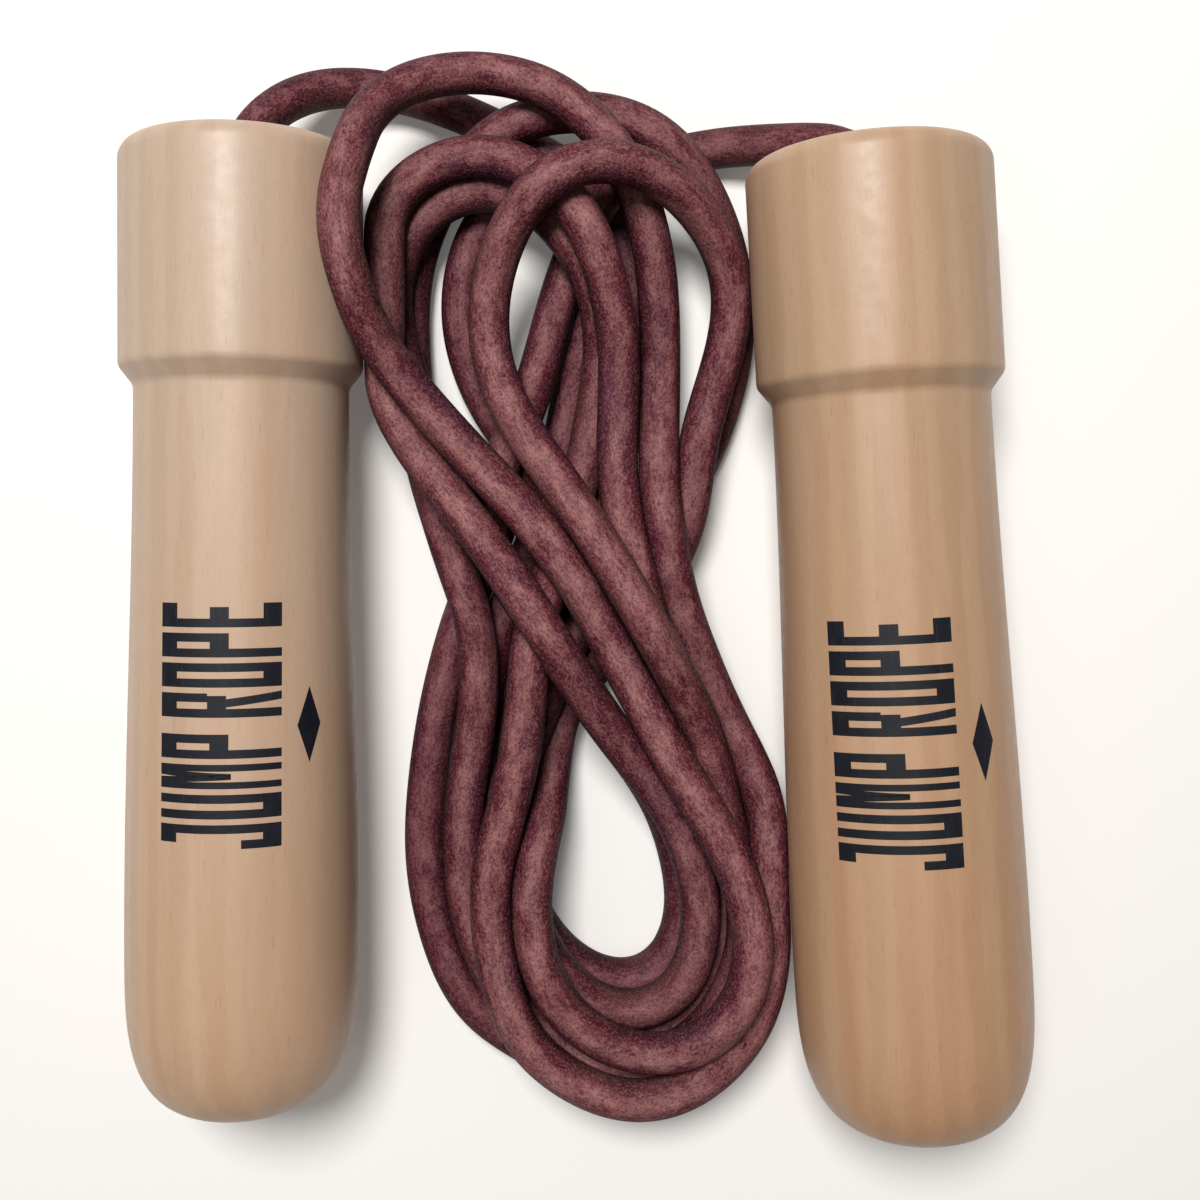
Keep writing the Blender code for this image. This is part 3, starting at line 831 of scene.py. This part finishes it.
def add_print(side, angle, material):
    """The object's plain name in block capitals and one small lozenge, wrapped on the handle."""
    vertices, faces = [], []
    along = PRINT_START
    for letter in PRINT_WORD:
        if letter == " ":
            along -= SPACE_WIDTH
            continue
        for left, bottom, right, top, *lean in LETTERS[letter]:
            near, far = along - left * LETTER_WIDTH, along - right * LETTER_WIDTH
            low, high = ((0.5 - share) * LETTER_HEIGHT for share in (bottom, top))
            over = lean[0] * LETTER_WIDTH if lean else 0.0
            corners = [(high, far), (low, far - over), (low, near - over), (high, near)]
            rows = max(2, round((top - bottom) * STROKE_ROWS))
            print_patch(corners, vertices, faces, rows, STROKE_COLUMNS)
        along -= LETTER_WIDTH + LETTER_GAP
    print_patch(LOZENGE, vertices, faces, LOZENGE_STEPS, LOZENGE_STEPS)
    made = new_object(f"{side}_print", vertices, faces, material)
    (x, y), turn = SIDES[side]
    stand = Matrix.Translation((x * MM, y * MM, AXIS_HEIGHT * MM))
    made.matrix_world = stand @ Matrix.Rotation(turn, 4, "Z") @ Matrix.Rotation(angle, 4, "Y")
    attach(made, f"{side}_handle")


# ---------------------------------------------------------------- bearing
def ring(low, high, inner, outer, edge=0.12):
    """Outline of a ring with small broken edges."""
    return [(low + edge, inner), (low, inner + edge), (low, outer - edge), (low + edge, outer),
            (high - edge, outer), (high, outer - edge), (high, inner + edge), (high - edge, inner)]


def track(shoulder):
    """Ball groove from front to back: an arc about the ball's centre, from shoulder to shoulder."""
    reach = math.degrees(math.acos(abs(shoulder - PITCH_RADIUS) / TRACK_RADIUS))
    towards, turn = (90, reach) if shoulder > PITCH_RADIUS else (270, -reach)
    return arc((BEARING_MIDDLE, PITCH_RADIUS), TRACK_RADIUS, towards + turn, towards - turn, GROOVE_STEPS)


def outer_race():
    front, back, seat = BEARING_FRONT, BEARING_BACK, SHIELD_SEAT_WIDTH
    inside = [(front, SHIELD_SEAT_RADIUS), (front + seat, SHIELD_SEAT_RADIUS)]
    inside += [(front + seat, OUTER_SHOULDER)]
    inside += track(OUTER_SHOULDER)
    inside += [(back - seat, OUTER_SHOULDER), (back - seat, SHIELD_SEAT_RADIUS), (back, SHIELD_SEAT_RADIUS)]
    edge = 0.35
    outside = [(back, BEARING_RADIUS - edge), (back - edge, BEARING_RADIUS),
               (front + edge, BEARING_RADIUS), (front, BEARING_RADIUS - edge)]
    return inside + outside


def inner_race():
    front, back, edge = BEARING_FRONT, BEARING_BACK, 0.3
    return ([(front + edge, BEARING_BORE), (front, BEARING_BORE + edge), (front, INNER_SHOULDER)]
            + track(INNER_SHOULDER)
            + [(back, INNER_SHOULDER), (back, BEARING_BORE + edge), (back - edge, BEARING_BORE)])


def shield(low):
    """Pressed shield with a shallow rib."""
    thick, rib = SHIELD_THICKNESS, 0.10
    inner, outer = INNER_SHOULDER + SHIELD_GAP, SHIELD_SEAT_RADIUS - SHIELD_GAP
    middle = (inner + outer) / 2
    front = [(low, inner), (low, middle - 0.7), (low + rib, middle - 0.35), (low + rib, middle + 0.35),
             (low, middle + 0.7), (low, outer)]
    back = [(low + thick, outer), (low + thick, inner)]
    return front + back


def ferrule():
    """Brass sleeve with two crimped waists and a lip at its front."""
    front, length, lip = FERRULE_FRONT, FERRULE_LENGTH, FERRULE_LIP_RADIUS
    outline = [(front, CORD_HOLE), (front, lip - 0.2), (front + 0.2, lip), (front + 0.8, lip),
               (front + 1.1, FERRULE_RADIUS)]
    for along in np.linspace(front + 1.6, front + length - 0.4, 40):
        share = (along - front) / length
        waist = sum(math.exp(-((share - middle) / CRIMP_WIDTH) ** 2) for middle in CRIMP_MIDDLES)
        outline.append((along, FERRULE_RADIUS - CRIMP_DEPTH * waist))
    return outline + [(front + length, FERRULE_RADIUS - 0.3), (front + length, CORD_HOLE)]


def add_turned(side, word, outline, segments, material, body):
    """One turned piece that stands for the CAD node of the same name."""
    piece = lathe(f"{side}_{word}_fine", outline, segments, material)
    place(piece, side, body)
    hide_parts(f"{side}_{word}")


def add_side(side, finishes, print_angle):
    """One handle with its print, its bearing and the fittings on the rope's end."""
    body, fixed = f"{side}_handle", "rope"
    wood_finish, race, shield_finish = finishes["wood_" + side], finishes["race"], finishes["shield"]
    add_turned(side, "handle", handle_outline(), HANDLE_SEGMENTS, wood_finish, body)
    add_print(side, print_angle, finishes["ink"])
    add_turned(side, "outer_race", outer_race(), BEARING_SEGMENTS, race, body)
    inset = (SHIELD_SEAT_WIDTH - SHIELD_THICKNESS) / 2
    shields = {"front_shield": BEARING_FRONT + inset,
               "rear_shield": BEARING_BACK - inset - SHIELD_THICKNESS}
    for word, low in shields.items():
        add_turned(side, word, shield(low), BEARING_SEGMENTS, shield_finish, body)
    add_turned(side, "inner_race", inner_race(), BEARING_SEGMENTS, race, fixed)
    washer = ring(WASHER_FRONT, WASHER_BACK, CORD_HOLE, WASHER_RADIUS)
    add_turned(side, "thrust_washer", washer, FITTING_SEGMENTS, finishes["zinc"], fixed)
    add_turned(side, "rope_ferrule", ferrule(), FITTING_SEGMENTS, finishes["brass"], fixed)
    for number in range(1, BALLS + 1):
        repaint(f"{side}_ball_{number}", finishes["ball"])
    repaint(f"{side}_ball_cage", finishes["cage"])


def repaint(node, material):
    """Gives a shown CAD node its finish."""
    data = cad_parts[node].data
    data.materials.clear()
    data.materials.append(material)
    data.shade_smooth()


# ---------------------------------------------------------------- stage
FLOOR_REACH = 2.5


def add_floor(material):
    reach = FLOOR_REACH
    vertices = [(-reach, -reach, 0), (reach, -reach, 0), (reach, reach, 0), (-reach, reach, 0)]
    floor = new_object("floor", vertices, [(0, 1, 2, 3)], material)


def add_area_light(name, place_at, size, power, colour):
    """Round soft light at a place, in metres and watts, that faces the middle of the floor."""
    data = bpy.data.lights.new(name, "AREA")
    data.shape = "DISK"
    data.size = size
    data.energy = power
    data.color = colour
    light = bpy.data.objects.new(name, data)
    bpy.context.scene.collection.objects.link(light)
    light.location = place_at
    light.rotation_euler = (-Vector(place_at)).to_track_quat("-Z", "Y").to_euler()


AMBIENT_STRENGTH = 0.11
WALL_STRENGTH = 0.80


def add_lights():
    world = bpy.data.worlds.new("studio")
    bpy.context.scene.world = world
    world.use_nodes = True
    # The world looks pale where the camera sees it past the floor, and lights the scene only a little.
    nodes, links = world.node_tree.nodes, world.node_tree.links
    backdrop = nodes["Background"]
    backdrop.inputs["Color"].default_value = ROOM_WHITE
    rays, strength = nodes.new("ShaderNodeLightPath"), nodes.new("ShaderNodeMapRange")
    strength.inputs["To Min"].default_value = AMBIENT_STRENGTH
    strength.inputs["To Max"].default_value = WALL_STRENGTH
    links.new(rays.outputs["Is Camera Ray"], strength.inputs["Value"])
    links.new(strength.outputs["Result"], backdrop.inputs["Strength"])
    add_area_light("key", (-0.10, 0.34, 0.80), 0.30, 8.0, (1.0, 0.985, 0.975))
    add_area_light("fill", (-0.30, -0.15, 0.85), 0.5, 0.6, (1.0, 0.99, 0.98))


# The camera's place, direction, lens and shift come from a least-squares fit to the handles' outlines.
CAMERA_LOCATION = (0.00845, 0.0184, 0.2448)
CAMERA_LOOK = (-0.03686, -0.0060, -0.9993)
CAMERA_LENS = 40.51
CAMERA_SHIFT = (0.0231, -0.0564)


def add_camera():
    data = bpy.data.cameras.new("camera")
    data.sensor_width = 36.0
    data.lens = CAMERA_LENS
    data.shift_x, data.shift_y = CAMERA_SHIFT
    data.clip_start = 0.01
    data.clip_end = 20.0
    camera = bpy.data.objects.new("camera", data)
    bpy.context.scene.collection.objects.link(camera)
    back = -Vector(CAMERA_LOOK).normalized()
    right = (Vector((1, 0, 0)) - back * back.x).normalized()
    turned = Matrix((right, back.cross(right), back)).transposed()
    camera.matrix_world = Matrix.Translation(CAMERA_LOCATION) @ turned.to_4x4()
    bpy.context.scene.camera = camera


# ---------------------------------------------------------------- build
FINISHES = {
    "wood_left": wood("left_maple", (0.565, 0.435, 0.330), (0.495, 0.365, 0.263), (0.37, 0.250, 0.168),
                      (0.0, 0.0, 0.0)),
    "wood_right": wood("right_maple", (0.525, 0.360, 0.235), (0.450, 0.297, 0.186), (0.33, 0.200, 0.120),
                       (0.31, 0.17, 0.05)),
    "leather": leather("oiled_leather"),
    "ink": ink("black_print"),
    "race": metal("race_steel", (0.58, 0.58, 0.60), (0.42, 0.42, 0.44), 0.20),
    "shield": metal("shield_steel", (0.46, 0.46, 0.48), (0.34, 0.33, 0.33), 0.32),
    "zinc": metal("zinc_plate", (0.60, 0.61, 0.62), (0.48, 0.49, 0.47), 0.34),
    "brass": metal("crimped_brass", (0.70, 0.50, 0.22), (0.50, 0.33, 0.13), 0.28),
    "ball": metal("ball_steel", (0.72, 0.72, 0.74), (0.60, 0.60, 0.63), 0.07),
    "cage": nylon("cage_nylon"),
}

PRINT_ANGLES = {"left": math.radians(4.0), "right": math.radians(-13.0)}

for side in SIDES:
    add_side(side, FINISHES, PRINT_ANGLES[side])

line = cord_line()
rope = rope_mesh(line, FINISHES["leather"])
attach(rope, "rope")
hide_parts("rope_hank", "left_rope_lead", "right_rope_lead")

add_floor(paper("floor_paper"))
add_lights()
add_camera()
bpy.context.scene.view_settings.view_transform = "Standard"
